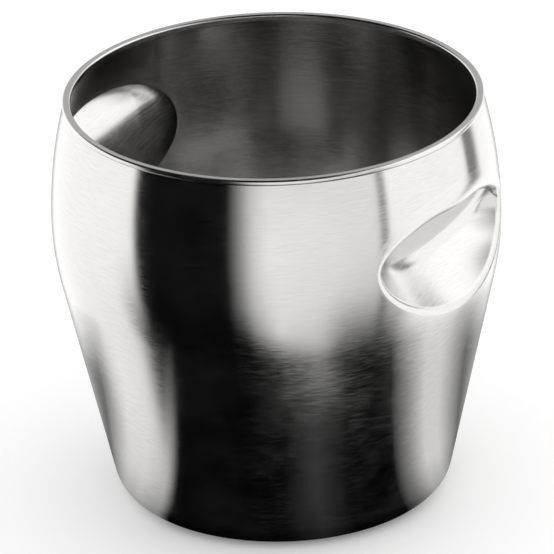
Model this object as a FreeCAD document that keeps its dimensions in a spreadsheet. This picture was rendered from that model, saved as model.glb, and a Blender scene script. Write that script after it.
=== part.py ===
import FreeCAD, Part
import os

import Sketcher

os.makedirs("parts", exist_ok=True)

V = FreeCAD.Vector

# ---------------------------------------------------------------------------
# Champagne bucket in brushed stainless steel. Millimetres, Z up, standing on
# Z = 0, axis on Z. The two hand grips face +X and -X.
#
# Pieces:
#   wall_shell         spun barrel wall with one oval opening on each side
#   base_pan           pressed bottom with the large round corner
#   rim_ring           solid stiffening ring, its spigot inside the wall's edge
#   grip_scoop_right   pressed finger scoop, butt welded into the +X opening
#   grip_scoop_left    the same pressing on the -X side
# ---------------------------------------------------------------------------

doc = FreeCAD.newDocument("champagne_bucket")
sheet = doc.addObject("Spreadsheet::Sheet", "Sizes")

# Each size once. Everything else is worked out from these by expressions.
sizes = {
    # overall
    "total_height": 201.0,
    "rim_outer_radius": 100.0,
    "belly_swell": 6.9,
    "belly_drop": 60.0,
    # barrel section, from the belly down
    "shoulder_arc_radius": 137.0,
    "taper_angle": 12.9,
    "corner_arc_radius": 15.0,
    # sheet
    "sheet_thickness": 1.2,
    "pan_height": 27.0,
    # underside: a shallow stamped recess leaves a ring to stand on
    "stand_ring_width": 5.0,
    "recess_depth": 1.6,
    "recess_slope_width": 5.0,
    # rim
    "rim_width": 4.0,
    "rim_height": 2.6,
    "rim_edge_round": 1.0,
    "rim_spigot_depth": 1.2,
    "rim_step": 0.5,
    "rim_spigot_clearance": 0.05,
    # finger scoop: the hollow is a tilted ellipsoid, centred outside the belly
    "scoop_centre_outset": 34.5,
    "scoop_centre_drop": 62.5,
    "scoop_reach": 71.5,
    "scoop_span": 72.5,
    "scoop_rise": 33.0,
    "scoop_tilt": 18.0,
    # the scoop's edge: rounded outside, with a narrow flange to the weld
    "lip_round_top": 1.5,
    "lip_round_low": 4.0,
    "lip_flange": 3.5,
    # how far cutting shapes run past what they cut
    "overrun": 12.0,
}
for row, (alias, value) in enumerate(sizes.items(), start=1):
    sheet.set("A%d" % row, alias)
    sheet.set("B%d" % row, str(value))
    sheet.setAlias("B%d" % row, alias)
doc.recompute()


def over_sheet(text):
    """Writes sheet names in braces as references to the sheet."""
    return text.replace("{", "Sizes.").replace("}", "")


def bind(thing, prop, text):
    thing.setExpression(prop, over_sheet(text))


def worked(text):
    """The number that an expression over the sheet gives now."""
    return float(sheet.evalExpression(over_sheet(text)))


# ---------------------------------------------------------------------------
# The section line of the barrel, as expressions. From the top: a flaring arc
# from the rim to the belly, a tighter shoulder arc, a straight taper, the
# corner arc, the flat base. `inset` is how far under the outside a line lies.
# ---------------------------------------------------------------------------
OUTSIDE = "0"
INSIDE = "{sheet_thickness}"

BELLY_RADIUS = "({rim_outer_radius} + {belly_swell})"
BELLY_HEIGHT = "({total_height} - {belly_drop})"
WALL_TOP = "({total_height} - {rim_height})"
WALL_TOP_RADIUS = "({rim_outer_radius} - {rim_step})"
TILT_SIN = "sin({taper_angle})"
TILT_COS = "cos({taper_angle})"
TILT_TAN = "tan({taper_angle})"

FLARE_IN = "(" + BELLY_RADIUS + " - " + WALL_TOP_RADIUS + ")"
FLARE_RISE = "(" + WALL_TOP + " - " + BELLY_HEIGHT + ")"
FLARE_RADIUS = "((%s ^ 2 + %s ^ 2) / (2 * %s))" % (FLARE_IN, FLARE_RISE, FLARE_IN)
FLARE_CENTRE = "(" + BELLY_RADIUS + " - " + FLARE_RADIUS + ")"
SHOULDER_CENTRE = "(" + BELLY_RADIUS + " - {shoulder_arc_radius})"
KNEE_X = "(" + SHOULDER_CENTRE + " + {shoulder_arc_radius} * " + TILT_COS + ")"
KNEE_Z = "(" + BELLY_HEIGHT + " - {shoulder_arc_radius} * " + TILT_SIN + ")"
CORNER_X = (
    "(" + KNEE_X + " - (" + KNEE_Z + " - {corner_arc_radius}) * " + TILT_TAN
    + " - {corner_arc_radius} / " + TILT_COS + ")"
)


def flare_x(inset, level):
    return "(%s + sqrt((%s - %s) ^ 2 - (%s - %s) ^ 2))" % (
        FLARE_CENTRE, FLARE_RADIUS, inset, level, BELLY_HEIGHT,
    )


def belly_x(inset):
    return "(%s - %s)" % (BELLY_RADIUS, inset)


def knee(inset):
    return (
        "(%s - %s * %s)" % (KNEE_X, inset, TILT_COS),
        "(%s + %s * %s)" % (KNEE_Z, inset, TILT_SIN),
    )


def taper_x(inset, level):
    return "(%s - %s / %s - (%s - %s) * %s)" % (
        KNEE_X, inset, TILT_COS, KNEE_Z, level, TILT_TAN,
    )


def heel(inset):
    return (
        "(%s + ({corner_arc_radius} - %s) * %s)" % (CORNER_X, inset, TILT_COS),
        "({corner_arc_radius} - ({corner_arc_radius} - %s) * %s)" % (inset, TILT_SIN),
    )


# ---------------------------------------------------------------------------
# Sketches. A section is a closed chain of points, each with its own bound
# position. A step of the chain is a line, or an arc with a centre.
# ---------------------------------------------------------------------------
class Section:
    def __init__(self, body, label):
        self.body = body
        self.sketch = body.newObject("Sketcher::SketchObject", label)
        plane = [f for f in body.Origin.OriginFeatures if f.Role == "XZ_Plane"][0]
        self.sketch.AttachmentSupport = [(plane, "")]
        self.sketch.MapMode = "FlatFace"
        self.steps = []
        self.count = 0

    def held(self, kind, spots, text):
        """A dimension bound to the sheet."""
        self.count += 1
        name = "d%d" % self.count
        index = self.sketch.addConstraint(Sketcher.Constraint(kind, *spots, worked(text)))
        self.sketch.renameConstraint(index, name)
        bind(self.sketch, "Constraints." + name, text)

    def held_point(self, item, end, point):
        self.held("DistanceX", (-1, 1, item, end), point[0])
        self.held("DistanceY", (-1, 1, item, end), point[1])

    def chain(self, points, arcs):
        """`points` are (x, z) texts. `arcs` maps a step to (centre, sense):
        step i runs from point i to point i + 1, sense 1 is anticlockwise."""
        numbers = [(worked(x), worked(z)) for x, z in points]
        total = len(points)
        items = []
        for step in range(total):
            a = V(numbers[step][0], numbers[step][1], 0)
            following = (step + 1) % total
            b = V(numbers[following][0], numbers[following][1], 0)
            if step in arcs:
                centre_text, sense = arcs[step]
                c = V(worked(centre_text[0]), worked(centre_text[1]), 0)
                first, second = (a, b) if sense > 0 else (b, a)
                circle = Part.Circle(c, V(0, 0, 1), (first - c).Length)
                start = circle.parameter(first)
                stop = circle.parameter(second)
                item = self.sketch.addGeometry(Part.ArcOfCircle(circle, start, stop), False)
                ends = (1, 2) if sense > 0 else (2, 1)
            else:
                item = self.sketch.addGeometry(Part.LineSegment(a, b), False)
                ends = (1, 2)
            items.append((item, ends))
        for step in range(total):
            here, ends = items[step]
            after, next_ends = items[(step + 1) % total]
            self.sketch.addConstraint(
                Sketcher.Constraint("Coincident", here, ends[1], after, next_ends[0])
            )
        for step in range(total):
            item, ends = items[step]
            self.held_point(item, ends[0], points[step])
        for step, (centre_text, sense) in arcs.items():
            # the chord is held, so one more measure fixes the arc
            item = items[step][0]
            dx = abs(numbers[step][0] - numbers[(step + 1) % total][0])
            dz = abs(numbers[step][1] - numbers[(step + 1) % total][1])
            if dz >= dx:
                self.held("DistanceX", (-1, 1, item, 3), centre_text[0])
            else:
                self.held("DistanceY", (-1, 1, item, 3), centre_text[1])

    def turned(self, label):
        turn = self.body.newObject("PartDesign::Revolution", label)
        turn.Profile = self.sketch
        turn.ReferenceAxis = (self.sketch, ["V_Axis"])
        turn.Angle = 360.0
        self.sketch.Visibility = False
        self.body.Tip = turn
        return turn


def new_body(label):
    body = doc.addObject("PartDesign::Body", label)
    body.Label = label
    return body


# ---------------------------------------------------------------------------
# The barrel as two full solids, the outside and the space inside the sheet
# ---------------------------------------------------------------------------
def barrel(label, inset, low, high):
    body = new_body(label)
    section = Section(body, label + "_section")
    knee_point = knee(inset)
    points = [
        ("0", low),
        (taper_x(inset, low), low),
        knee_point,
        (belly_x(inset), BELLY_HEIGHT),
        (flare_x(inset, high), high),
        ("0", high),
    ]
    arcs = {
        2: ((SHOULDER_CENTRE, BELLY_HEIGHT), 1),
        3: ((FLARE_CENTRE, BELLY_HEIGHT), 1),
    }
    section.chain(points, arcs)
    section.turned(label + "_turned")
    return body


SEAM = "{pan_height}"
barrel_outside = barrel("barrel_outside", OUTSIDE, SEAM, WALL_TOP)
barrel_inside = barrel(
    "barrel_inside", INSIDE, "(" + SEAM + " - {overrun} / 4)", "(" + WALL_TOP + " + {overrun})"
)
doc.recompute()


# ---------------------------------------------------------------------------
# The finger scoops. The hollow is an ellipsoid that leans down and outwards,
# so its roof goes in nearly level and its floor runs out to the lower lip.
# ---------------------------------------------------------------------------
def ellipsoid(label, grow):
    form = doc.addObject("Part::Ellipsoid", label)
    form.Label = label
    form.Placement = FreeCAD.Placement(
        V(0, 0, 0), FreeCAD.Rotation(V(0, 1, 0), worked("{scoop_tilt}"))
    )
    bind(form, "Radius1", "{scoop_rise} + " + grow)
    bind(form, "Radius2", "{scoop_reach} + " + grow)
    bind(form, "Radius3", "{scoop_span} + " + grow)
    bind(form, "Placement.Rotation.Angle", "{scoop_tilt}")
    bind(form, "Placement.Base.x", BELLY_RADIUS + " + {scoop_centre_outset}")
    bind(form, "Placement.Base.z", "{total_height} - {scoop_centre_drop}")
    return form


def mirrored(label, source):
    twin = doc.addObject("Part::Mirroring", label)
    twin.Label = label
    twin.Source = source
    twin.Normal = V(1, 0, 0)
    return twin


def cut(label, base, tool):
    result = doc.addObject("Part::Cut", label)
    result.Label = label
    result.Base = base
    result.Tool = tool
    return result


def common(label, base, tool):
    result = doc.addObject("Part::Common", label)
    result.Label = label
    result.Base = base
    result.Tool = tool
    return result


hollow_right = ellipsoid("hollow_right", "0")
back_right = ellipsoid("scoop_back_right", "{sheet_thickness}")
weld_right = ellipsoid("weld_line_right", "{lip_flange}")
hollow_left = mirrored("hollow_left", hollow_right)
back_left = mirrored("scoop_back_left", back_right)
weld_left = mirrored("weld_line_left", weld_right)

outside_one = cut("outside_one_grip", barrel_outside, hollow_right)
outside_both = cut("outside_both_grips", outside_one, hollow_left)
inside_one = cut("inside_one_grip", barrel_inside, back_right)
inside_both = cut("inside_both_grips", inside_one, back_left)
doc.recompute()


# The lip of each opening: a tight round over the top, a softer one below the
# belly line, where the fingers slide in.
lip = doc.addObject("Part::Fillet", "outside_with_lips")
lip.Label = "outside_with_lips"
lip.Base = outside_both
above = worked("{lip_round_top}")
below = worked("{lip_round_low}")
belly_line = worked(BELLY_HEIGHT)
rounds = []
for number, edge in enumerate(outside_both.Shape.Edges, start=1):
    box = edge.BoundBox
    crosses = box.ZLength > worked("{lip_flange}") and box.YLength > worked("{overrun}")
    within = box.ZMin > worked(SEAM) and box.ZMax < worked(WALL_TOP)
    if crosses and within:
        radius = above if box.Center.z > belly_line else below
        rounds.append((number, radius, radius))
lip.Edges = rounds
doc.recompute()

sheet_form = cut("pressed_sheet", lip, inside_both)
scoop_right = common("grip_scoop_right", sheet_form, weld_right)
scoop_left = common("grip_scoop_left", sheet_form, weld_left)
wall_one = cut("wall_one_opening", sheet_form, weld_right)
wall_shell = cut("wall_shell", wall_one, weld_left)

# ---------------------------------------------------------------------------
# Base pan: the corner, the ring that stands on the table and the recess
# ---------------------------------------------------------------------------
base_pan = new_body("base_pan")
SLOPE_SHIFT = "({sheet_thickness} * tan(atan({recess_depth} / {recess_slope_width}) / 2))"
RECESS_OUT = "(" + CORNER_X + " - {stand_ring_width})"
RECESS_IN = "(" + RECESS_OUT + " - {recess_slope_width})"
pan_section = Section(base_pan, "base_pan_section")
pan_section.chain(
    [
        (taper_x(OUTSIDE, SEAM), SEAM),
        heel(OUTSIDE),
        (CORNER_X, "0"),
        (RECESS_OUT, "0"),
        (RECESS_IN, "{recess_depth}"),
        ("0", "{recess_depth}"),
        ("0", "({recess_depth} + {sheet_thickness})"),
        ("(" + RECESS_IN + " + " + SLOPE_SHIFT + ")", "({recess_depth} + {sheet_thickness})"),
        ("(" + RECESS_OUT + " + " + SLOPE_SHIFT + ")", "{sheet_thickness}"),
        (CORNER_X, "{sheet_thickness}"),
        heel(INSIDE),
        (taper_x(INSIDE, SEAM), SEAM),
    ],
    {
        1: ((CORNER_X, "{corner_arc_radius}"), -1),
        9: ((CORNER_X, "{corner_arc_radius}"), 1),
    },
)
pan_section.turned("base_pan_turned")

# ---------------------------------------------------------------------------
# Rim ring: rests on the cut edge of the wall, a spigot centres it inside
# ---------------------------------------------------------------------------
rim_ring = new_body("rim_ring")
RIM_IN = "({rim_outer_radius} - {rim_width})"
ROUND = "{rim_edge_round}"
SPIGOT_X = "(" + flare_x(INSIDE, WALL_TOP) + " - {rim_spigot_clearance})"
SPIGOT_Z = "(" + WALL_TOP + " - {rim_spigot_depth})"
OUT_ROUND = "({rim_outer_radius} - " + ROUND + ")"
IN_ROUND = "(" + RIM_IN + " + " + ROUND + ")"
rim_section = Section(rim_ring, "rim_ring_section")
rim_section.chain(
    [
        (IN_ROUND, SPIGOT_Z),
        (SPIGOT_X, SPIGOT_Z),
        (SPIGOT_X, WALL_TOP),
        (OUT_ROUND, WALL_TOP),
        ("{rim_outer_radius}", "(" + WALL_TOP + " + " + ROUND + ")"),
        ("{rim_outer_radius}", "({total_height} - " + ROUND + ")"),
        (OUT_ROUND, "{total_height}"),
        (IN_ROUND, "{total_height}"),
        (RIM_IN, "({total_height} - " + ROUND + ")"),
        (RIM_IN, "(" + SPIGOT_Z + " + " + ROUND + ")"),
    ],
    {
        3: ((OUT_ROUND, "(" + WALL_TOP + " + " + ROUND + ")"), 1),
        5: ((OUT_ROUND, "({total_height} - " + ROUND + ")"), 1),
        7: ((IN_ROUND, "({total_height} - " + ROUND + ")"), 1),
        9: ((IN_ROUND, "(" + SPIGOT_Z + " + " + ROUND + ")"), 1),
    },
)
rim_section.turned("rim_ring_turned")
doc.recompute()

# ---------------------------------------------------------------------------
# Check everything, then write the pieces
# ---------------------------------------------------------------------------
for thing in doc.Objects:
    if "Invalid" in thing.State or "Error" in thing.State:
        raise RuntimeError("%s is %s" % (thing.Label, thing.State))

pieces = {
    "wall_shell": wall_shell,
    "base_pan": base_pan,
    "rim_ring": rim_ring,
    "grip_scoop_right": scoop_right,
    "grip_scoop_left": scoop_left,
}
for name, piece in pieces.items():
    shape = piece.Shape
    if shape.isNull() or not shape.isValid() or len(shape.Solids) != 1:
        raise RuntimeError("%s has no single valid solid" % name)
    shape.exportStep("parts/%s.step" % name)
    box = shape.BoundBox
    print(
        "%-18s %10.0f mm3   x %.1f..%.1f  y %.1f..%.1f  z %.1f..%.1f"
        % (name, shape.Volume, box.XMin, box.XMax, box.YMin, box.YMax, box.ZMin, box.ZMax)
    )
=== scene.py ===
# %% [markdown]
# # A champagne bucket in satin stainless steel
#
# This notebook dresses a champagne bucket that was already built as solids. The solids give every
# position. Here each sheet of steel gets a smooth, finely divided mesh with softly rolled lips, and
# a steel finish whose grain runs the way it was brushed in the workshop.
#
# The pieces are the barrel wall, the pressed base pan, the solid ring round the mouth, and two
# finger scoops that are welded into oval openings in the wall.

# %% Load the solid model as the fixed frame
import math

import bpy
import numpy as np
from mathutils import Matrix, Vector


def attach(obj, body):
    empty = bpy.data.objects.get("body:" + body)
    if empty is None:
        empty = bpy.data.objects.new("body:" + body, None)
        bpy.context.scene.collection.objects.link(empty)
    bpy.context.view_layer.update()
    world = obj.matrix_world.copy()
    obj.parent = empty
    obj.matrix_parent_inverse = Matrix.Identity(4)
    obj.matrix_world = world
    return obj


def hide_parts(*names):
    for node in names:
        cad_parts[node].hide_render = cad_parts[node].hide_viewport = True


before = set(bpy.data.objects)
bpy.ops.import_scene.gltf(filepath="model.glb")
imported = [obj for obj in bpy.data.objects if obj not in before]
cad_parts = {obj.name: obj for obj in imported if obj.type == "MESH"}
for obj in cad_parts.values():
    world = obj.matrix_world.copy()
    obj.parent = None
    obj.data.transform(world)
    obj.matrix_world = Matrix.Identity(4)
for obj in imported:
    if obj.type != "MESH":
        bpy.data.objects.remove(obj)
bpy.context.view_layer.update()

# %% [markdown]
# ## The bucket's own sizes
#
# A spun barrel is easiest to describe as a line turned about the axis: a slow flare from the rim to
# the belly, a tighter shoulder, a straight taper and a round corner. All lengths are in millimetres,
# heights are measured down from the top of the rim, and meshes are turned into metres at the end.

# %% Sizes, in millimetres
RIM_RADIUS = 100.0
HEIGHT = 201.0
SWELL = 6.9            # how far the belly stands out past the rim
BELLY_DROP = 60.0      # how far the belly lies below the rim
SHOULDER_ARC = 137.0
TAPER = math.radians(12.9)
CORNER_ARC = 15.0
SHEET = 1.2
PAN_HEIGHT = 27.0

RIM_WIDTH, RIM_HEIGHT, RIM_EDGE, RIM_SPIGOT, RIM_STEP = 4.0, 2.6, 1.0, 1.2, 0.5

SCOOP_CENTRE = (RIM_RADIUS + SWELL + 34.5, 62.5)   # out from the axis, down from the rim
SCOOP_HALF = (71.5, 72.5, 33.0)                    # half axes: out, across, up
SCOOP_TILT = math.radians(18.0)
LIP_LOW = 4.0                     # rounding of the lower lip
ROLL_DOWN, ROLL_IN = 11.5, 7.0    # the roll of the upper lip: down the wall, and in from it
HOOK_BACK = 17.0                  # where the roll runs out on the scoop's roof
FLANGE = 3.5                      # how far the scoop's sheet runs out along the wall to its weld
# the scoop's upper side is two flats: a roof, then a steeper fall to the back of the hollow.
# each is: slope, a spot on its upper side (out from the axis, down from the rim), how gently it
# blends at that spot, and how gently it blends deep in the hollow
ROOF_FLAT = (math.radians(36.0), (103.1, 25.0), 3.0, 3.0)
FALL_FLAT = (math.radians(66.0), (91.0, 33.6), 3.5, 13.0)
BLEND_RUN = 26.0       # how far inwards from the spot the blend takes to grow

BELLY = RIM_RADIUS + SWELL
WALL_TOP_RADIUS = RIM_RADIUS - RIM_STEP
FLARE_RISE = BELLY_DROP - RIM_HEIGHT
FLARE_IN = BELLY - WALL_TOP_RADIUS
FLARE_ARC = (FLARE_IN ** 2 + FLARE_RISE ** 2) / (2 * FLARE_IN)
KNEE_DROP = BELLY_DROP + SHOULDER_ARC * math.sin(TAPER)
KNEE_RADIUS = BELLY - SHOULDER_ARC + SHOULDER_ARC * math.cos(TAPER)
CORNER_X = (KNEE_RADIUS - (HEIGHT - CORNER_ARC - KNEE_DROP) * math.tan(TAPER)
            - CORNER_ARC / math.cos(TAPER))
SEAM_DROP = HEIGHT - PAN_HEIGHT
print("flare arc %.0f mm, knee at %.1f mm down, foot radius %.1f mm" % (
    FLARE_ARC, KNEE_DROP, CORNER_X))


# %% The line of the barrel
def wall_radius(drop):
    """Outer radius of the wall at a distance below the rim."""
    drop = np.asarray(drop, float)
    flare = BELLY - FLARE_ARC + np.sqrt(np.maximum(FLARE_ARC ** 2 - (drop - BELLY_DROP) ** 2, 0))
    inside = np.clip(drop - BELLY_DROP, 0, SHOULDER_ARC)
    shoulder = BELLY - SHOULDER_ARC + np.sqrt(SHOULDER_ARC ** 2 - inside ** 2)
    taper = KNEE_RADIUS - (drop - KNEE_DROP) * math.tan(TAPER)
    return np.where(drop < BELLY_DROP, flare, np.where(drop < KNEE_DROP, shoulder, taper))


def wall_lean(drop):
    """How far the outward normal of the wall points up (+) or down (-), as an angle."""
    drop = np.asarray(drop, float)
    flare = np.arcsin(np.clip((BELLY_DROP - drop) / FLARE_ARC, -1, 1))
    shoulder = -np.arcsin(np.clip((drop - BELLY_DROP) / SHOULDER_ARC, -1, 1))
    return np.where(drop < BELLY_DROP, flare, np.where(drop < KNEE_DROP, shoulder, -TAPER))


def on_wall(turn, drop):
    """Points and normals of the outer wall for arrays of turn angle and drop."""
    r, lean = wall_radius(drop), wall_lean(drop)
    c, s = np.cos(turn), np.sin(turn)
    points = np.stack([r * c, r * s, HEIGHT - drop + 0 * c], -1)
    normals = np.stack([np.cos(lean) * c, np.cos(lean) * s, np.sin(lean) + 0 * c], -1)
    return points, normals


print("belly %.1f mm, seam %.1f mm" % (wall_radius(BELLY_DROP), wall_radius(SEAM_DROP)))

# %% [markdown]
# ## One mesh helper
#
# Polished sheet metal shows every ripple, so the meshes carry exact normals: each face says which
# way the true surface points at each of its corners. A small class collects points and faces, and
# turns them into a Blender mesh with those normals.


# %% The mesh helper
class Skin:
    """Collects points and faces in millimetres, with a true normal at each face corner."""

    def __init__(self):
        self.points, self.faces, self.normals = [], [], []

    def add(self, points):
        """Adds an array of points and returns their numbers in the same layout."""
        flat = np.asarray(points, float).reshape(-1, 3)
        start = len(self.points)
        self.points.extend(flat.tolist())
        return np.arange(start, start + len(flat)).reshape(np.shape(points)[:-1])

    def face(self, corners, normals):
        """One face. Its corners are put in the order that agrees with its normals."""
        corners, normals = list(corners), [Vector(n) for n in normals]
        a, b, c = (Vector(self.points[i]) for i in (corners[0], corners[1], corners[2]))
        flat = (b - a).cross(c - a)
        if len(corners) == 4:
            d = Vector(self.points[corners[3]])
            flat = (c - a).cross(d - b)
        if flat.dot(sum(normals, Vector())) < 0:
            corners.reverse()
            normals.reverse()
        self.faces.append(corners)
        self.normals.extend(tuple(n) for n in normals)

    def quads(self, numbers, normals, wrap=False):
        """Faces over a grid of point numbers. wrap joins the last column to the first."""
        rows, columns = numbers.shape
        for i in range(rows - 1):
            for j in range(columns if wrap else columns - 1):
                k = (j + 1) % columns
                spots = ((i, j), (i, k), (i + 1, k), (i + 1, j))
                self.face([numbers[s] for s in spots], [normals[s] for s in spots])

    def edge_strip(self, one, other, normals):
        """The narrow face of the sheet's cut edge, between two closed loops."""
        count = len(one)
        for j in range(count):
            k = (j + 1) % count
            self.face([one[j], one[k], other[k], other[j]],
                      [normals[j], normals[k], normals[k], normals[j]])

    def build(self, name):
        """Makes the mesh in metres, smooth, with the collected normals."""
        mesh = bpy.data.meshes.new(name)
        # grid points inside the scoop windows carry no face, and are left out
        used = sorted({int(i) for f in self.faces for i in f})
        place = {number: spot for spot, number in enumerate(used)}
        metres = [[0.001 * c for c in self.points[number]] for number in used]
        mesh.from_pydata(metres, [], [[place[int(i)] for i in f] for f in self.faces])
        for polygon in mesh.polygons:
            polygon.use_smooth = True
        mesh.normals_split_custom_set([Vector(n).normalized() for n in self.normals])
        mesh.validate()
        piece = bpy.data.objects.new(name, mesh)
        bpy.context.scene.collection.objects.link(piece)
        print("%s: %d points, %d faces" % (name, len(mesh.vertices), len(mesh.polygons)))
        return piece


# %% [markdown]
# ## The oval opening and its finger scoop
#
# On the real bucket the scoop is pressed from its own sheet: fingers slide in over a soft lower lip
# and curl up behind a rolled upper lip. The hollow is a leaning ellipsoid whose upper side is pressed
# down to two flats: a roof, and a steeper fall to the back. Spokes run out from the middle of the
# opening to a rectangle on the wall. On each spoke the line of steel goes from the deepest part of
# the hollow, out along the hollow, round the lip, and onto the wall as far as the weld. A sculpted
# mesh would be quicker, but polished steel would show its ripples, so every point is worked out.

# %% The hollow as an ellipsoid
TILT_TURN = np.array([[math.cos(SCOOP_TILT), 0, math.sin(SCOOP_TILT)],
                      [0, 1, 0],
                      [-math.sin(SCOOP_TILT), 0, math.cos(SCOOP_TILT)]])
HOLLOW_MIDDLE = np.array([SCOOP_CENTRE[0], 0.0, HEIGHT - SCOOP_CENTRE[1]])


def unit(v):
    """The same directions with length 1."""
    return v / np.maximum(np.linalg.norm(v, axis=-1, keepdims=True), 1e-12)


def to_ball(points, grow=0.0):
    """Points in the ellipsoid's own frame, where the ellipsoid is a ball of radius 1."""
    return (points - HOLLOW_MIDDLE) @ TILT_TURN / (np.array(SCOOP_HALF) + grow)


def from_ball(ball, grow=0.0):
    """Points on the ellipsoid for points on the ball, and the way out from its middle there."""
    half = np.array(SCOOP_HALF) + grow
    return (ball * half) @ TILT_TURN.T + HOLLOW_MIDDLE, unit((ball / half) @ TILT_TURN.T)


def arcs_on_ball(ends, shares):
    """Rows of points on the ball, from the middle of the ends (share 0) to the ends (share 1)."""
    ends = ends / np.linalg.norm(ends, axis=-1, keepdims=True)
    pole = ends.mean(0)
    pole[1] = 0.0
    pole /= np.linalg.norm(pole)
    angle = np.arccos(np.clip(ends @ pole, -1, 1))
    one = np.sin((1 - shares) * angle) / np.sin(angle)
    two = np.sin(shares * angle) / np.sin(angle)
    return one[..., None] * pole + two[..., None] * ends


def under_roof(points, below=0.0):
    """Presses points down to the two flats, gently where they come near them."""
    for slope, (out, down), blend_out, blend_deep in (ROOF_FLAT, FALL_FLAT):
        inwards = np.clip((out - points[..., 0]) / BLEND_RUN, 0, 1)
        blend = blend_out + (blend_deep - blend_out) * inwards
        up_way = np.array([-math.sin(slope), 0.0, math.cos(slope)])
        spot = np.array([out, 0.0, HEIGHT - down]) - below * up_way
        above = (points - spot) @ up_way
        near = np.clip(blend - np.abs(above), 0, None) / blend
        pressed = np.minimum(above, 0) - near ** 2 * blend / 4
        points = points + (pressed - above)[..., None] * up_way
    return points


def surface_normals(rows, guide):
    """Normals of a grid of points that closes round its second side, on the guide's side."""
    along = np.empty_like(rows)
    along[1:-1] = rows[2:] - rows[:-2]
    along[0], along[-1] = rows[1] - rows[0], rows[-1] - rows[-2]
    around = np.roll(rows, -1, 1) - np.roll(rows, 1, 1)
    n = unit(np.cross(along, around))
    return n * np.sign((n * guide).sum(-1, keepdims=True))


print("hollow: deepest at %.1f mm from the axis before the flats" % from_ball(
    np.array([-1.0, 0.0, 0.0]))[0][0])


# %% The spokes, from the middle of the opening to a window in the wall
WINDOW_HALF_TURN = 34.0           # degrees to either side of the opening's middle
WINDOW_TOP, WINDOW_BOTTOM, MIDDLE_DROP = 14.0, 97.0, 52.0
WINDOW_COLUMNS, WINDOW_ROWS = 69, 50
window_turns = np.radians(np.linspace(-WINDOW_HALF_TURN, WINDOW_HALF_TURN, WINDOW_COLUMNS))
window_drops = np.linspace(WINDOW_TOP, WINDOW_BOTTOM, WINDOW_ROWS)

frame_spots = [(t, WINDOW_TOP) for t in window_turns[:-1]]
frame_spots += [(window_turns[-1], d) for d in window_drops[:-1]]
frame_spots += [(t, WINDOW_BOTTOM) for t in window_turns[:0:-1]]
frame_spots += [(window_turns[0], d) for d in window_drops[:0:-1]]
frame_spots = np.array(frame_spots)
SPOKES = len(frame_spots)


def along_spoke(share):
    """Turn and drop at a share of each spoke: 0 in the middle, 1 on the window's frame."""
    share = np.asarray(share, float)
    return share * frame_spots[:, 0], MIDDLE_DROP + share * (frame_spots[:, 1] - MIDDLE_DROP)


def crossing(is_inside):
    """The share of each spoke at which it leaves a region, found by halving fifty times."""
    low, high = np.zeros(SPOKES), np.ones(SPOKES)
    for _ in range(50):
        middle = (low + high) / 2
        inside = is_inside(*along_spoke(middle))
        low, high = np.where(inside, middle, low), np.where(inside, high, middle)
    return (low + high) / 2


def in_hollow(grow):
    """A test for spots on the outer wall that lie inside the ellipsoid grown by `grow`."""
    return lambda turn, drop: (to_ball(on_wall(turn, drop)[0], grow) ** 2).sum(-1) < 1


lip_share = crossing(in_hollow(0.0))
weld_share = crossing(in_hollow(FLANGE))
lip_points, _ = on_wall(*along_spoke(lip_share))
print("opening: %.1f mm wide, %.1f to %.1f mm below the rim" % (
    np.ptp(lip_points[:, 1]), HEIGHT - lip_points[:, 2].max(), HEIGHT - lip_points[:, 2].min()))


# %% [markdown]
# ## The lip
#
# The lower lip is a small soft bend, as a press leaves it. The upper lip is a broad roll that hangs
# down inside the opening. Both are drawn as two curves with handles, end to end, and a weight called
# hook leads from the one to the other round the opening. Blending the curves' handles, instead of
# two finished meshes, keeps one even run of faces all the way round.

# %% How the lip goes round the opening
def hollow_arcs(shares):
    """Points on the hollow from its deepest middle to the lip, and the side the steel faces."""
    points, outwards = from_ball(arcs_on_ball(to_ball(lip_points), shares))
    return points, -outwards


SMALL_SHARE = 0.02                # a short way along an arc; half of it along the wall
near_lip, _ = hollow_arcs(np.array([[1.0 - SMALL_SHARE], [1.0]]))
hollow_length_per_share = np.linalg.norm(near_lip[1] - near_lip[0], axis=-1) / SMALL_SHARE
hollow_heading = unit(near_lip[1] - near_lip[0])
just_out, _ = on_wall(*along_spoke(lip_share + SMALL_SHARE / 2))
wall_length_per_share = np.linalg.norm(just_out - lip_points, axis=-1) / (SMALL_SHARE / 2)
wall_heading = unit(just_out - lip_points)
turned = np.arccos(np.clip((hollow_heading * wall_heading).sum(-1), -1, 1))

# downness is 0 at the top of the opening and 1 at its bottom; hook is 1 over the upper lip
HOOK_WHOLE, HOOK_FADE = 0.12, 0.42
downness = (lip_points[:, 2].max() - lip_points[:, 2]) / np.ptp(lip_points[:, 2])
hook = 1 - np.clip((downness - HOOK_WHOLE) / HOOK_FADE, 0, 1)
hook = hook * hook * (3 - 2 * hook)
reach = LIP_LOW * np.tan(turned / 2) * (1 - hook)
hollow_stop = 1 - (reach + HOOK_BACK * hook) / hollow_length_per_share
MOST_OF_FLANGE = 0.85             # the soft lip never takes more of the flange than this
wall_start = lip_share + np.minimum(reach / wall_length_per_share,
                                    MOST_OF_FLANGE * (weld_share - lip_share))
print("lip turns %.0f to %.0f degrees" % tuple(np.degrees([turned.min(), turned.max()])))

# %% The hollow and the flange, up to where the lip begins and ends
HOLLOW_STEPS, LIP_STEPS, FLANGE_STEPS = 30, 12, 3
CROWDING = 1.15                   # crowds the rows of the hollow towards the lip
shares = 1 - (1 - np.linspace(0.0, 1.0, HOLLOW_STEPS + 1)[1:, None]) ** CROWDING
hollow_points, hollow_guides = hollow_arcs(shares * hollow_stop[None, :])
hollow_points = under_roof(hollow_points, below=SHEET)
hollow_normals = surface_normals(hollow_points, hollow_guides)
flange_shares = (wall_start
                 + np.linspace(0, 1, FLANGE_STEPS + 1)[:, None] * (weld_share - wall_start))
flange_points, flange_normals = on_wall(*along_spoke(flange_shares))
print("hollow rows:", hollow_points.shape, "flange rows:", flange_points.shape)

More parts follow.
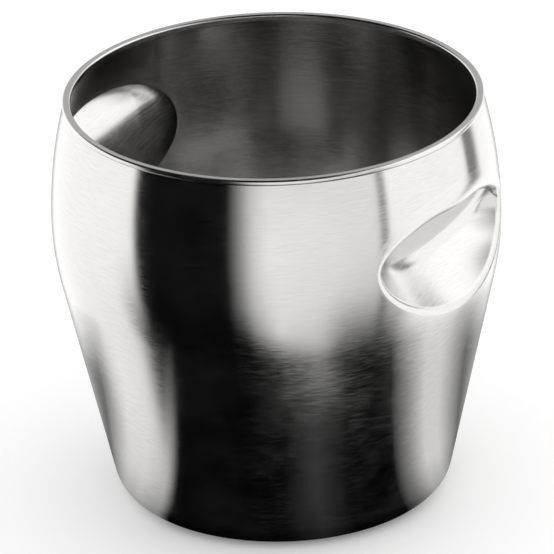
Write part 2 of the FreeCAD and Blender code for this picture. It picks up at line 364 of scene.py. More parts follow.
# %% The curves of the lip
start, stop = hollow_points[-1], flange_points[0]
start_heading = unit(hollow_points[-1] - hollow_points[-2])
stop_heading = unit(flange_points[1] - flange_points[0])
handle = (4 / 3 * np.tan(turned / 4) * LIP_LOW)[:, None]

# a small soft lip is one curve with handles; it is cut in two halves at its middle
p0, p1, p2, p3 = start, start + handle * start_heading, stop - handle * stop_heading, stop
m01, m12, m23 = (p0 + p1) / 2, (p1 + p2) / 2, (p2 + p3) / 2
m012, m123 = (m01 + m12) / 2, (m12 + m23) / 2
soft_lip = [p0, m01, m012, (m012 + m123) / 2, m123, m23, p3]

# a rolled lip: up the roof, down to the bottom of the roll, then a quarter oval up to the wall
out_way = flange_normals[0]
up_wall = unit(stop_heading - (stop_heading * out_way).sum(-1, keepdims=True) * out_way)
low_spot = stop - ROLL_DOWN * up_wall - ROLL_IN * out_way
ROOF_HANDLE, LOW_HANDLE = 5.0, 6.0
ROUND_HANDLE = 0.5523             # the handle that makes a quarter circle, as a share of its radius
rolled_lip = [start, start + ROOF_HANDLE * start_heading, low_spot - LOW_HANDLE * out_way, low_spot,
              low_spot + ROUND_HANDLE * ROLL_IN * out_way,
              stop - ROUND_HANDLE * ROLL_DOWN * up_wall, stop]
lip_spots = [soft + hook[:, None] * (rolled - soft) for soft, rolled in zip(soft_lip, rolled_lip)]


def bend(four, t):
    """The spot at share t of a curve with a start, two handles and an end."""
    a0, a1, a2, a3 = four
    return (1 - t) ** 3 * a0 + 3 * (1 - t) ** 2 * t * a1 + 3 * (1 - t) * t ** 2 * a2 + t ** 3 * a3


curve = [bend(lip_spots[:4], t) for t in np.linspace(0, 1, LIP_STEPS + 1)[1:]]
curve += [bend(lip_spots[3:], t) for t in np.linspace(0, 1, LIP_STEPS + 1)[1:-1]]
curve = np.array(curve)


def lip_normals(points):
    """Normals over the lip, square to the line of the spoke and to the run of the lip."""
    out = []
    whole = np.concatenate([hollow_points[-2:], points, flange_points[:2]])
    last = flange_normals[0]
    for i in range(len(whole) - 2, 0, -1):
        along = whole[i + 1] - whole[i - 1]
        around = np.roll(whole[i], -1, 0) - np.roll(whole[i], 1, 0)
        n = unit(np.cross(along, around))
        last = n * np.sign((n * last).sum(-1, keepdims=True))
        out.append(last)
    return np.array(out[::-1])


all_lip_normals = lip_normals(curve)
hollow_normals[-1] = all_lip_normals[0]
scoop_points = np.concatenate([hollow_points, curve, flange_points])
scoop_normals = np.concatenate([hollow_normals, all_lip_normals[1:-1], flange_normals])
pole_point = under_roof(hollow_arcs(np.array([[0.0]]))[0], below=SHEET)[0, 0]
pole_normal = unit(hollow_normals[0].mean(0))
print("scoop rows:", scoop_points.shape,
      "deepest point %.1f mm from the axis" % scoop_points[..., 0].min())


# %% [markdown]
# ## The back of the scoop
#
# Inside the bucket the scoop shows as a bulge with a nearly level top. It is the same hollow, one
# sheet thickness out, and it stops where it meets the inner side of the wall. Giving the front mesh
# a Solidify modifier would be simpler, but the two sides end on different lines, so the back is
# built as rows of its own.

# %% The side of the scoop that is seen inside the bucket
def inner_wall(turn, drop):
    """Points and normals of the wall's inner side, one sheet thickness in."""
    points, normals = on_wall(turn, drop)
    return points - SHEET * normals, -normals


def behind_scoop(turn, drop):
    """A test for spots on the inner wall that the back of the scoop covers."""
    points, _ = inner_wall(turn, drop)
    pressed_by = points[:, 2] - under_roof(points)[:, 2]
    return ((to_ball(points, SHEET) ** 2).sum(-1) < 1) & (pressed_by < MOST_PRESSED)


MOST_PRESSED = 1.0                # millimetres by which the roof may lie under such a spot
BACK_STEPS, SETTLE = 40, 6        # a high power keeps the move to the weld line near that line
crease_share = np.minimum(crossing(behind_scoop), weld_share - 0.01)
crease_points, _ = inner_wall(*along_spoke(crease_share))
back_shares = np.linspace(0, 1, BACK_STEPS + 1)[:, None]
back_rows, back_guides = from_ball(arcs_on_ball(to_ball(crease_points, SHEET), back_shares), SHEET)
back_rows = under_roof(back_rows)
back_pole_point, back_rows, back_guides = back_rows[0, 0], back_rows[1:], back_guides[1:]
gap = crease_points - back_rows[-1]
back_rows = back_rows + back_shares[1:, :, None] ** SETTLE * gap
back_row_normals = surface_normals(back_rows, back_guides)
back_pole_normal = unit(back_row_normals[0].mean(0))
print("weld line inside: %.1f to %.1f mm below the rim, gap closed %.2f mm" % (
    HEIGHT - crease_points[:, 2].max(), HEIGHT - crease_points[:, 2].min(),
    np.linalg.norm(gap, axis=-1).max()))
inner_shares = crease_share + np.linspace(0, 1, 4)[:, None] * (weld_share - crease_share)
inner_points, inner_normals = inner_wall(*along_spoke(inner_shares))
print("back of the scoop: %.1f mm from the axis at its deepest" % back_rows[..., 0].min())


# %% Build both scoops
def half_turn(points):
    """The same points half a turn round the bucket's axis."""
    return points * np.array([-1.0, -1.0, 1.0])


def make_scoop(name, move):
    """One scoop: its front, its back, the flange inside the wall and the cut edge at the weld."""
    skin = Skin()
    front, front_n = skin.add(move(scoop_points)), move(scoop_normals)
    skin.quads(front, front_n, wrap=True)
    back, back_n = skin.add(move(back_rows)), move(back_row_normals)
    skin.quads(back, back_n, wrap=True)
    for row, row_n, spot, spot_n in ((front, front_n, pole_point, pole_normal),
                                     (back, back_n, back_pole_point, back_pole_normal)):
        tip = skin.add(move(spot)[None])[0]
        for j in range(SPOKES):
            k = (j + 1) % SPOKES
            skin.face([tip, row[0, j], row[0, k]], [move(spot_n), row_n[0, j], row_n[0, k]])
    inner = np.concatenate([back[-1][None], skin.add(move(inner_points[1:]))])
    skin.quads(inner, move(inner_normals), wrap=True)
    outward = unit(scoop_points[-1] - scoop_points[-2])
    skin.edge_strip(front[-1], inner[-1], move(outward))
    return skin.build(name)


scoops = {
    "grip_scoop_right": make_scoop("finger_scoop_right", lambda p: p),
    "grip_scoop_left": make_scoop("finger_scoop_left", half_turn),
}

# %% [markdown]
# ## The barrel wall
#
# The wall is a grid round the barrel with a rectangular window left out on each side. Each window is
# filled by a fan of faces that starts on the scoop's weld line and ends on the window's frame, so
# the wall and the scoop meet point for point. A Boolean cut would leave long thin faces round the
# opening, and they would show as streaks in the steel.

# %% The grid of the wall, with its two windows
BETWEEN, ABOVE, BELOW = 55, 7, 29      # columns between the windows, rows above and below them
SIDE_TURNS = np.linspace(WINDOW_HALF_TURN, 180.0 - WINDOW_HALF_TURN, BETWEEN + 2)[1:-1]
turns = np.concatenate([
    window_turns,
    np.radians(SIDE_TURNS),
    window_turns + math.pi,
    np.radians(SIDE_TURNS + 180.0),
])
drops = np.concatenate([
    np.linspace(RIM_HEIGHT, WINDOW_TOP, ABOVE + 1)[:-1],
    window_drops,
    np.linspace(WINDOW_BOTTOM, SEAM_DROP, BELOW + 1)[1:],
])
wall_points, wall_normals = on_wall(*np.meshgrid(turns, drops))
wide, tall = WINDOW_COLUMNS, WINDOW_ROWS
first_column = {"right": 0, "left": wide + BETWEEN}

skin = Skin()
outer = skin.add(wall_points)
inner = skin.add(wall_points - SHEET * wall_normals)


def in_window(i, j):
    """Whether the face at row i and column j belongs to a scoop's window."""
    return any(ABOVE <= i < ABOVE + tall - 1 and c <= j < c + wide - 1
               for c in first_column.values())


for i in range(len(drops) - 1):
    for j in range(len(turns)):
        if in_window(i, j):
            continue
        k = (j + 1) % len(turns)
        spots = ((i, j), (i, k), (i + 1, k), (i + 1, j))
        skin.face([outer[s] for s in spots], [wall_normals[s] for s in spots])
        skin.face([inner[s] for s in spots], [-wall_normals[s] for s in spots])

print("grid of the wall: %d columns, %d rows" % (len(turns), len(drops)))

# %% The fans round the scoops
RING_STEPS, RING_CROWDING = 8, 1.25    # the rings crowd towards the weld line
ring_share = (weld_share
              + np.linspace(0, 1, RING_STEPS + 1)[:, None] ** RING_CROWDING * (1 - weld_share))
ring_points, ring_normals = on_wall(*along_spoke(ring_share))


def frame_numbers(numbers, c):
    """The grid points on a window's frame, in the order of the spokes."""
    r = ABOVE
    top = [numbers[r, c + j] for j in range(wide - 1)]
    side = [numbers[r + i, c + wide - 1] for i in range(tall - 1)]
    bottom = [numbers[r + tall - 1, c + j] for j in range(wide - 1, 0, -1)]
    back = [numbers[r + i, c] for i in range(tall - 1, 0, -1)]
    return np.array(top + side + bottom + back)


for side, move in (("right", lambda p: p), ("left", half_turn)):
    n = move(ring_normals)
    out_ring = skin.add(move(ring_points[:-1]))
    in_ring = skin.add(move(ring_points[:-1] - SHEET * ring_normals[:-1]))
    out_ring = np.concatenate([out_ring, frame_numbers(outer, first_column[side])[None]])
    in_ring = np.concatenate([in_ring, frame_numbers(inner, first_column[side])[None]])
    skin.quads(out_ring, n, wrap=True)
    skin.quads(in_ring, -n, wrap=True)
    skin.edge_strip(out_ring[0], in_ring[0], move(unit(ring_points[0] - ring_points[1])))
up = np.tile([0.0, 0.0, 1.0], (len(turns), 1))
skin.edge_strip(outer[0], inner[0], up)
skin.edge_strip(outer[-1], inner[-1], -up)
wall = skin.build("barrel_wall")

# %% [markdown]
# ## Turned pieces: the base pan and the rim ring
#
# Both are a closed outline turned about the axis. The Screw modifier could do that, but here the
# outline is given as smooth runs, and the corner between two runs stays crisp because each run
# brings its own normals.

# %% A helper for turned pieces
def arc_run(centre, radius, start, stop, steps):
    """Points and normals along an arc. An arc that runs backwards is a hollow one."""
    a = np.radians(np.linspace(start, stop, steps + 1))
    way = np.stack([np.cos(a), np.sin(a)], -1)
    return np.array(centre) + radius * way, way * (1 if stop > start else -1)


def straight_run(a, b, steps=1):
    """Points and normals along a straight line, with the steel on its left."""
    t = np.linspace(0, 1, steps + 1)[:, None]
    line = np.array(a) * (1 - t) + np.array(b) * t
    d = unit(np.array(b, float) - np.array(a, float))
    return line, np.tile([d[1], -d[0]], (steps + 1, 1))


def turned_piece(name, runs, segments=240):
    """Turns an outline that runs anticlockwise, radius to the right and height up."""
    turn = np.linspace(0, 2 * math.pi, segments, endpoint=False)
    c, s = np.cos(turn), np.sin(turn)
    skin = Skin()
    rows = {}

    def ring(point):
        key = (round(point[0], 4), round(point[1], 4))
        if key not in rows:
            if point[0] < 1e-6:
                rows[key] = np.repeat(skin.add(np.array([[0.0, 0.0, point[1]]])), segments)
            else:
                rows[key] = skin.add(np.stack([point[0] * c, point[0] * s, point[1] + 0 * c], -1))
        return rows[key]

    for line, normals in runs:
        for i in range(len(line) - 1):
            if line[i][0] < 1e-6 and line[i + 1][0] < 1e-6:
                continue
            pair = []
            for p, n in ((line[i], normals[i]), (line[i + 1], normals[i + 1])):
                pair.append((ring(p), np.stack([n[0] * c, n[0] * s, n[1] + 0 * c], -1)))
            (ra, na), (rb, nb) = pair
            for j in range(segments):
                k = (j + 1) % segments
                corners = [ra[j], ra[k], rb[k], rb[j]]
                around = [na[j], na[k], nb[k], nb[j]]
                seen, keep = set(), []
                for spot, number in enumerate(corners):
                    if number not in seen:
                        seen.add(number)
                        keep.append(spot)
                skin.face([corners[q] for q in keep], [around[q] for q in keep])
    return skin.build(name)


# %% The base pan: round corner, standing ring and stamped recess
STAND_WIDTH, RECESS_RUN, RECESS_UP = 5.0, 5.0, 1.6
taper_deg = math.degrees(TAPER)
recess_out = CORNER_X - STAND_WIDTH
recess_in = recess_out - RECESS_RUN
shift = SHEET * math.tan(math.atan(RECESS_UP / RECESS_RUN) / 2)
seam_out = (float(wall_radius(SEAM_DROP)), PAN_HEIGHT)
seam_in = (seam_out[0] - SHEET / math.cos(TAPER), PAN_HEIGHT)
outer_corner = arc_run((CORNER_X, CORNER_ARC), CORNER_ARC, -90, -taper_deg, 18)
inner_corner = arc_run((CORNER_X, CORNER_ARC), CORNER_ARC - SHEET, -taper_deg, -90, 18)
pan_runs = [
    straight_run((0, RECESS_UP), (recess_in, RECESS_UP), 6),
    straight_run((recess_in, RECESS_UP), (recess_out, 0), 3),
    straight_run((recess_out, 0), (CORNER_X, 0), 2),
    outer_corner,
    straight_run(tuple(outer_corner[0][-1]), seam_out, 4),
    straight_run(seam_out, seam_in),
    straight_run(seam_in, tuple(inner_corner[0][0]), 4),
    inner_corner,
    straight_run((CORNER_X, SHEET), (recess_out + shift, SHEET), 2),
    straight_run((recess_out + shift, SHEET), (recess_in + shift, RECESS_UP + SHEET), 3),
    straight_run((recess_in + shift, RECESS_UP + SHEET), (0, RECESS_UP + SHEET), 6),
]
pan = turned_piece("pressed_base", pan_runs)

# %% The rim ring: flat top, four round edges, and a spigot inside the wall
top, under = HEIGHT, HEIGHT - RIM_HEIGHT
low = under - RIM_SPIGOT
rim_in = RIM_RADIUS - RIM_WIDTH
SPIGOT_PLAY = 0.08
spigot = WALL_TOP_RADIUS - SHEET - SPIGOT_PLAY
e = RIM_EDGE
rim_runs = [
    straight_run((rim_in + e, low), (spigot, low)),
    straight_run((spigot, low), (spigot, under)),
    straight_run((spigot, under), (RIM_RADIUS - e, under)),
    arc_run((RIM_RADIUS - e, under + e), e, -90, 0, 6),
    straight_run((RIM_RADIUS, under + e), (RIM_RADIUS, top - e)),
    arc_run((RIM_RADIUS - e, top - e), e, 0, 90, 6),
    straight_run((RIM_RADIUS - e, top), (rim_in + e, top)),
    arc_run((rim_in + e, top - e), e, 90, 180, 6),
    straight_run((rim_in, top - e), (rim_in, low + e)),
    arc_run((rim_in + e, low + e), e, 180, 270, 6),
]
rim = turned_piece("mouth_ring", rim_runs, segments=360)

# %% [markdown]
# ## Satin stainless steel
#
# The sheet is austenitic stainless steel, a pale and nearly neutral metal. It is fully metallic, so
# its colour tints what it reflects, and its IOR stays at the default. Bright satin steel has a
# roughness of about 0.15 to 0.25. The wall and the pan are brushed while the barrel turns, so fine
# scratches run round it, and reflections smear up and down across them. That is what anisotropy
# means on the shader. The grit leaves lines about 0.1 mm apart; that is too fine to draw, so the
# grain is drawn at a few tenths of a millimetre. A few handling marks vary the gloss.

# %% Colours and one function for nodes
def linear(hex_code):
    """sRGB hex to linear RGBA."""
    values = [int(hex_code[i:i + 2], 16) / 255 for i in (1, 3, 5)]
    return [v / 12.92 if v <= 0.04045 else ((v + 0.055) / 1.055) ** 2.4 for v in values] + [1.0]


print("pale steel, linear:", [round(v, 3) for v in linear("#DAD9D7")])


def node(tree, kind, settings=None, links=None):
    """Adds a node. settings are properties, socket values or a ramp's stops; links feed sockets."""
    made = tree.nodes.new(kind)
    for key, value in (settings or {}).items():
        if key == "stops":
            elements = made.color_ramp.elements
            elements.remove(elements[-1])
            for number, (place_at, bright) in enumerate(value):
                element = elements.new(place_at) if number else elements[0]
                element.position, element.color = place_at, (bright, bright, bright, 1)
        elif isinstance(key, int) or key in made.inputs:
            made.inputs[key].default_value = value
        else:
            setattr(made, key, value)
    for key, source in (links or {}).items():
        tree.links.new(source, made.inputs[key])
    return made


# %% Brushed steel, with the grain round the axis
GRAIN_ROUGHNESS, MARK_ROUGHNESS = 0.05, 0.03     # how far scratches and marks move the roughness
GRAIN_TURN = 14.0        # how quickly the scratches change on their way round the barrel
MARKS_PER_METRE = 33.0   # handling marks, some 30 mm across
DARKEST_SCRATCH = 0.88


def brushed_steel(name, colour, roughness, aniso, grain_mm, bump_mm):
    """Stainless steel brushed while it turns. The grain runs round the Z axis."""
    material = bpy.data.materials.new(name)
    material.use_nodes = True
    tree = material.node_tree
    tree.nodes.clear()
    place = node(tree, "ShaderNodeTexCoord")
    # long scratches: slow to change along the run of the brush, quick to change across it
    split = node(tree, "ShaderNodeSeparateXYZ", links={0: place.outputs["Object"]})
    radius = node(tree, "ShaderNodeVectorMath", {"operation": "MULTIPLY", 1: (1, 1, 0)},
                  {0: place.outputs["Object"]})
    heading = node(tree, "ShaderNodeVectorMath", {"operation": "NORMALIZE"},
                   {0: radius.outputs[0]})
    slow = node(tree, "ShaderNodeVectorMath", {"operation": "SCALE", "Scale": GRAIN_TURN},
                {0: heading.outputs[0]})
    fast = node(tree, "ShaderNodeMath", {"operation": "MULTIPLY", 1: 1000.0 / grain_mm},
                {0: split.outputs["Z"]})
    rise = node(tree, "ShaderNodeCombineXYZ", links={"Z": fast.outputs[0]})
    grain_place = node(tree, "ShaderNodeVectorMath", {"operation": "ADD"},
                       {0: slow.outputs[0], 1: rise.outputs[0]})
    grain = node(tree, "ShaderNodeTexNoise", {"Scale": 1.0, "Detail": 3.0, "Roughness": 0.65},
                 {"Vector": grain_place.outputs[0]})
    marks = node(tree, "ShaderNodeTexNoise",
                 {"Scale": MARKS_PER_METRE, "Detail": 4.0, "Roughness": 0.55},
                 {"Vector": place.outputs["Object"]})
    grain_rough = node(tree, "ShaderNodeMapRange",
                       {"From Min": 0.3, "From Max": 0.7,
                        "To Min": roughness - GRAIN_ROUGHNESS,
                        "To Max": roughness + GRAIN_ROUGHNESS},
                       {"Value": grain.outputs["Fac"]})
    mark_rough = node(tree, "ShaderNodeMapRange",
                      {"From Min": 0.35, "From Max": 0.65,
                       "To Min": -MARK_ROUGHNESS, "To Max": MARK_ROUGHNESS},
                      {"Value": marks.outputs["Fac"]})
    rough = node(tree, "ShaderNodeMath", {"operation": "ADD"},
                 {0: grain_rough.outputs[0], 1: mark_rough.outputs[0]})
    tint = node(tree, "ShaderNodeMapRange",
                {"From Min": 0.3, "From Max": 0.7, "To Min": DARKEST_SCRATCH, "To Max": 1.0},
                {"Value": grain.outputs["Fac"]})
    shade = node(tree, "ShaderNodeVectorMath", {"operation": "SCALE", 0: linear(colour)[:3]},
                 {"Scale": tint.outputs[0]})
    bump = node(tree, "ShaderNodeBump", {"Strength": 1.0, "Distance": bump_mm * 0.001},
                {"Height": grain.outputs["Fac"]})
    run = node(tree, "ShaderNodeTangent", {"direction_type": "RADIAL", "axis": "Z"})
    steel = node(tree, "ShaderNodeBsdfPrincipled",
                 {"Metallic": 1.0, "Anisotropic": aniso, "Anisotropic Rotation": 0.25},
                 {"Base Color": shade.outputs[0], "Roughness": rough.outputs[0],
                  "Normal": bump.outputs[0], "Tangent": run.outputs[0]})
    node(tree, "ShaderNodeOutputMaterial", links={"Surface": steel.outputs[0]})
    print("material", name)
    return material


# %% The three finishes
# brushed on the lathe: the eye sees tall soft bands of light and dark that follow the barrel
wall_steel = brushed_steel("stainless_steel_brushed_round", "#D6D5D3", 0.165, 0.85, 0.5, 0.0012)
# a solid ring, turned and finely brushed: a bright thin line round the mouth
rim_steel = brushed_steel("stainless_steel_fine_satin", "#DAD9D7", 0.2, 0.4, 0.3, 0.002)
# pressed, then polished by hand: hardly any direction, so a soft even glow in the hollow
scoop_steel = brushed_steel("stainless_steel_pressed_satin", "#DAD9D7", 0.2, 0.2, 0.5, 0.002)

# %% [markdown]
# ## Dressing the solids
#
# Each mesh takes the place of one solid and rides on the bucket's only body, since nothing on the
# bucket moves.

# %% Put the pieces on the bucket
dress = {
    "wall_shell": (wall, wall_steel, "wall_steel"),
    "base_pan": (pan, wall_steel, "pan_steel"),
    "rim_ring": (rim, rim_steel, "rim_steel"),
    "grip_scoop_right": (scoops["grip_scoop_right"], scoop_steel, "scoop_steel"),
    "grip_scoop_left": (scoops["grip_scoop_left"], scoop_steel, "scoop_steel"),
}
for solid, (piece, steel, slot) in dress.items():
    piece.data.materials.append(steel)
    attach(piece, "root")
    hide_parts(solid)
    print(piece.name, "stands for", solid)

# %% [markdown]
# ## The studio
#
# Polished metal is only what it reflects, so the room matters as much as the lamps would. The bucket
# stands on a white table under plain white light, and only its own reflections see more: a room
# that is painted on the world in a few broad bands, and cards that lie round the foot. Lamps and
# real panels could do it too, but a painted room gives each band of the steel an exact place. The
# front of the studio is the side that the camera stands on, and bearings are counted from there.

# %% Camera
CAMERA_TURN = math.radians(34.0)
CAMERA_RISE = math.radians(23.65)
CAMERA_ROLL = math.radians(-1.68)
CAMERA_AWAY = 5.0
IMAGE = 554
RIM_SPOT = (273.0, 94.8)    # where the middle of the rim falls, right and down in the frame
PER_METRE = 2116.0          # how much of the frame a metre covers at the rim

right = Vector((math.cos(CAMERA_TURN), math.sin(CAMERA_TURN), 0))
away = Vector((-math.sin(CAMERA_TURN), math.cos(CAMERA_TURN), 0))
upward = Vector((0, 0, 1))
rim_centre = Vector((0, 0, HEIGHT * 0.001))
camera_place = rim_centre + CAMERA_AWAY * (-away * math.cos(CAMERA_RISE)
                                           + upward * math.sin(CAMERA_RISE))

level_up = right.cross((rim_centre - camera_place).normalized())
roll_right = right * math.cos(CAMERA_ROLL) + level_up * math.sin(CAMERA_ROLL)
roll_up = -right * math.sin(CAMERA_ROLL) + level_up * math.cos(CAMERA_ROLL)
offset_right = (IMAGE / 2 - RIM_SPOT[0]) / PER_METRE
offset_down = (IMAGE / 2 - RIM_SPOT[1]) / PER_METRE
aim = rim_centre + roll_right * offset_right - roll_up * offset_down
forward = (aim - camera_place).normalized()
side = forward.cross(roll_up).normalized()
top_way = side.cross(forward)
SENSOR = 36.0
camera_data = bpy.data.cameras.new("studio_camera")
camera_data.sensor_width = SENSOR
camera_data.lens = SENSOR * PER_METRE * CAMERA_AWAY / IMAGE
camera_data.clip_end = 50.0
camera = bpy.data.objects.new("studio_camera", camera_data)
camera.matrix_world = Matrix((
    (side.x, top_way.x, -forward.x, camera_place.x),
    (side.y, top_way.y, -forward.y, camera_place.y),
    (side.z, top_way.z, -forward.z, camera_place.z),
    (0, 0, 0, 1)))
bpy.context.scene.collection.objects.link(camera)
bpy.context.scene.camera = camera
print("lens %.0f mm at %.1f m" % (camera_data.lens, CAMERA_AWAY))

# %% [markdown]
# ## The white table
#
# A sheet of white paper, matt and far wider than the frame. It keeps the bucket's soft shadow. The
# steel doesn't reflect it, because the cards stand in for what lies on the table.

# %% The pale table
PAPER_HALF, PAPER_GLOW = 3000.0, 0.13
table_skin = Skin()
table_points = table_skin.add(PAPER_HALF * np.array([[-1, -1, 0], [1, -1, 0], [1, 1, 0], [-1, 1, 0]]))
table_skin.face(list(table_points), [(0, 0, 1)] * 4)
table = table_skin.build("studio_table")
paper = bpy.data.materials.new("white_paper")
paper.use_nodes = True
paper_face = paper.node_tree.nodes["Principled BSDF"]
paper_face.inputs["Base Color"].default_value = linear("#FFFFFF")
paper_face.inputs["Roughness"].default_value = 0.9
# a touch of its own light, for the camera alone, brings the paper to white and leaves the shadow
seen = node(paper.node_tree, "ShaderNodeLightPath")
lift = node(paper.node_tree, "ShaderNodeMath", {"operation": "MULTIPLY", 1: PAPER_GLOW},
            {0: seen.outputs["Is Camera Ray"]})
paper_face.inputs["Emission Color"].default_value = (1, 1, 1, 1)
paper.node_tree.links.new(lift.outputs[0], paper_face.inputs["Emission Strength"])
table.data.materials.append(paper)
table.visible_glossy = False


# %% [markdown]
# ## The painted room
#
# A direction in the room is a bearing and a height. Five bands lie over each other from the floor to
# the top: lower, level, higher, ceiling and a dark top. Each band is a ramp of brightness by
# bearing, and fades into the next by height. The wall leans in below the belly, so it sees the lower
# bands, and the scoops' roofs see the higher ones.

# %% Ramps by direction
def round_tones(tree, bearing_share, stops):
    """Brightness by bearing in degrees: 0 is the front of the studio, + is to its right."""
    shares = [((b + 180.0) / 360.0, bright) for b, bright in stops]
    return node(tree, "ShaderNodeValToRGB", {"stops": shares}, {"Fac": bearing_share}).outputs[0]


def studio_bearing(tree, vector):
    """Turns a vector into a bearing from the front of the studio, as a share of the full turn."""
    turned_way = node(tree, "ShaderNodeMapping",
                      {"vector_type": "POINT", "Rotation": (0, 0, -CAMERA_TURN)},
                      {"Vector": vector})
    part = node(tree, "ShaderNodeSeparateXYZ", links={0: turned_way.outputs[0]})
    front = node(tree, "ShaderNodeMath", {"operation": "MULTIPLY", 1: -1.0}, {0: part.outputs["Y"]})
    angle = node(tree, "ShaderNodeMath", {"operation": "ARCTAN2"},
                 {0: part.outputs["X"], 1: front.outputs[0]})
    share = node(tree, "ShaderNodeMapRange",
                 {"From Min": -math.pi, "From Max": math.pi, "To Min": 0.0, "To Max": 1.0},
                 {"Value": angle.outputs[0]})
    return share.outputs[0], part.outputs["Z"]


# %% The room, by direction
world = bpy.data.worlds.new("studio_room")
bpy.context.scene.world = world
world.use_nodes = True
tree = world.node_tree
tree.nodes.clear()
way = node(tree, "ShaderNodeTexCoord")
bearing, height = studio_bearing(tree, way.outputs["Generated"])
rise = node(tree, "ShaderNodeMath", {"operation": "ARCSINE"}, {0: height})
rise_share = node(tree, "ShaderNodeMapRange",
                  {"From Min": -math.pi / 2, "From Max": math.pi / 2, "To Min": 0.0, "To Max": 1.0},
                  {"Value": rise.outputs[0]}).outputs[0]


def rise_tones(stops):
    """A share by height above the horizon, in degrees."""
    shares = [((r + 90.0) / 180.0, bright) for r, bright in stops]
    return node(tree, "ShaderNodeValToRGB", {"stops": shares}, {"Fac": rise_share}).outputs[0]


level = round_tones(tree, bearing, [
    (-180, 0.35), (-168, 0.4), (-158, 1.0), (-79, 1.0), (-75, 0.0), (-25, 0.0), (-19, 0.25),
    (-12, 0.7), (-5, 0.88), (52, 0.8), (54.5, 0.3), (57, 0.3), (59, 1.0), (115, 1.0), (118, 0.2),
    (126, 0.2), (132, 1.0), (158, 1.0), (168, 0.4), (180, 0.35)])
lower = round_tones(tree, bearing, [
    (-180, 0.35), (-168, 0.4), (-158, 1.0), (-125, 0.9), (-94, 0.8), (-84, 0.0), (-18, 0.0),
    (-6, 0.5), (0, 0.78), (20, 0.66), (36, 0.2), (48, 0.1), (60, 0.05), (68, 0.2), (79, 1.0),
    (158, 1.0), (168, 0.4), (180, 0.35)])
higher = round_tones(tree, bearing, [
    (-180, 0.42), (-165, 0.45), (-145, 0.9), (-118, 0.9), (-103, 0.0), (32, 0.0), (54, 1.0),
    (125, 1.0), (150, 0.42), (180, 0.42)])
ceiling = round_tones(tree, bearing, [
    (-180, 0.1), (-150, 0.0), (30, 0.0), (70, 1.1), (158, 1.1), (170, 0.1), (180, 0.1)])
dark_top = node(tree, "ShaderNodeRGB")
dark_top.outputs[0].default_value = (0.0, 0.0, 0.0, 1)
room_tone = level
for fade, band in (([(-40, 1.0), (-18, 0.0)], lower), ([(13, 0.0), (20, 1.0)], higher),
                   ([(28, 0.0), (34, 1.0)], ceiling), ([(50, 0.0), (60, 1.0)], dark_top.outputs[0])):
    room_tone = node(tree, "ShaderNodeMixRGB", links={
        "Fac": rise_tones(fade), "Color1": room_tone, "Color2": band}).outputs[0]
ROOM_STRENGTH = 1.4
room = node(tree, "ShaderNodeBackground", {"Strength": ROOM_STRENGTH}, {"Color": room_tone})
plain = node(tree, "ShaderNodeBackground", {"Strength": 1.0, "Color": (1, 1, 1, 1)})
rays = node(tree, "ShaderNodeLightPath")
both = node(tree, "ShaderNodeMixShader",
            links={0: rays.outputs["Is Glossy Ray"], 1: plain.outputs[0], 2: room.outputs[0]})
node(tree, "ShaderNodeOutputWorld", links={"Surface": both.outputs[0]})
print("room painted by bearing and height, with %d nodes" % len(tree.nodes))

# %% [markdown]
# ## The cards round the foot
#
# The lower half of the barrel leans in, so it looks down and reflects what lies on the table round
# the foot. That is too near to be painted on the world. A flat disc lies there as grey and black
# cards, which only reflections see: brighter and darker by bearing, with an edge whose distance from
# the axis also goes by bearing. Past that edge the disc is clear.

# %% The cards
CARD_SPOTS, CARD_IN, CARD_OUT, CARD_DROP = 96, 20.0, 330.0, 0.5
card_skin = Skin()
card_turn = np.linspace(0, 2 * math.pi, CARD_SPOTS, endpoint=False)
card_rows = card_skin.add(np.stack([
    np.stack([r * np.cos(card_turn), r * np.sin(card_turn), 0 * card_turn - CARD_DROP], -1)
    for r in (CARD_IN, CARD_OUT)]))
card_skin.quads(card_rows, np.tile([0.0, 0.0, 1.0], (2, CARD_SPOTS, 1)), wrap=True)
cards = card_skin.build("studio_cards")
card_paint = bpy.data.materials.new("grey_and_black_card")
card_paint.use_nodes = True
tree = card_paint.node_tree
tree.nodes.clear()
spot = node(tree, "ShaderNodeTexCoord")
bearing, _ = studio_bearing(tree, spot.outputs["Object"])
flat_spot = node(tree, "ShaderNodeVectorMath", {"operation": "MULTIPLY", 1: (1, 1, 0)},
                 {0: spot.outputs["Object"]})
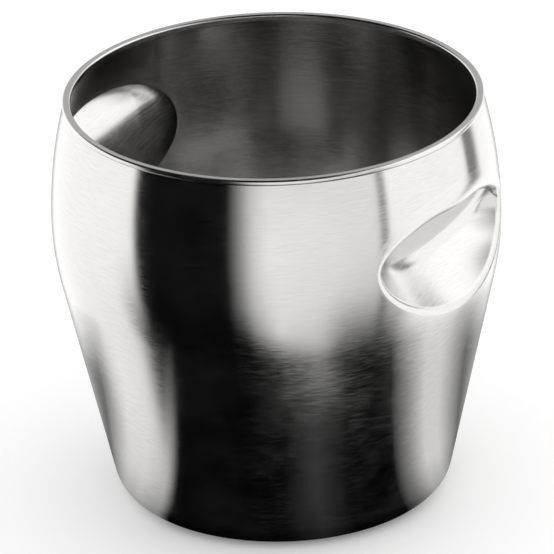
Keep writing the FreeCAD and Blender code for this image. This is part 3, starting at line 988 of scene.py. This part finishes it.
out_from_axis = node(tree, "ShaderNodeVectorMath", {"operation": "LENGTH"},
                     {0: flat_spot.outputs[0]})
card_tone = round_tones(tree, bearing, [
    (-180, 0.3), (-128, 0.3), (-108, 0.12), (-98, 0.35), (-84, 0.68), (-70, 0.72), (-56, 0.5),
    (-50, 0.0), (0, 0.0), (14, 0.03), (28, 0.0), (52, 0.0), (62, 0.25), (73, 0.66), (84, 0.66),
    (97, 0.35), (110, 0.12), (130, 0.3), (180, 0.3)])
# the distance of the edge from the axis, in metres
card_edge = round_tones(tree, bearing, [
    (-180, 0.20), (-100, 0.20), (-82, 0.14), (-58, 0.14), (-46, 0.21), (-20, 0.27), (0, 0.235),
    (20, 0.2), (40, 0.225), (60, 0.225), (90, 0.22), (180, 0.22)])
inside_edge = node(tree, "ShaderNodeMath", {"operation": "SUBTRACT"},
                   {0: card_edge, 1: out_from_axis.outputs["Value"]})
SOFT_EDGE = 0.03         # metres over which the edge fades, to either side
cover = node(tree, "ShaderNodeMapRange",
             {"From Min": -SOFT_EDGE, "From Max": SOFT_EDGE, "To Min": 0.0, "To Max": 1.0},
             {"Value": inside_edge.outputs[0]})
# painted shade: the cards' glow is painted weaker close to the foot, standing in for the bucket's own
# shade there
shade = node(tree, "ShaderNodeMapRange",
             {"From Min": 0.074, "From Max": 0.108, "To Min": 0.5, "To Max": 1.4},
             {"Value": out_from_axis.outputs["Value"]})
glow = node(tree, "ShaderNodeEmission", links={"Color": card_tone, "Strength": shade.outputs[0]})
nothing = node(tree, "ShaderNodeBsdfTransparent")
laid = node(tree, "ShaderNodeMixShader",
            links={0: cover.outputs[0], 1: nothing.outputs[0], 2: glow.outputs[0]})
node(tree, "ShaderNodeOutputMaterial", links={"Surface": laid.outputs[0]})
cards.data.materials.append(card_paint)
cards.visible_camera = False
cards.visible_diffuse = False
cards.visible_transmission = False
cards.visible_shadow = False

# %% [markdown]
# ## Closing
#
# The Standard view transform shows the tones as they are written.

# %% Finish
bpy.context.scene.view_settings.view_transform = "Standard"
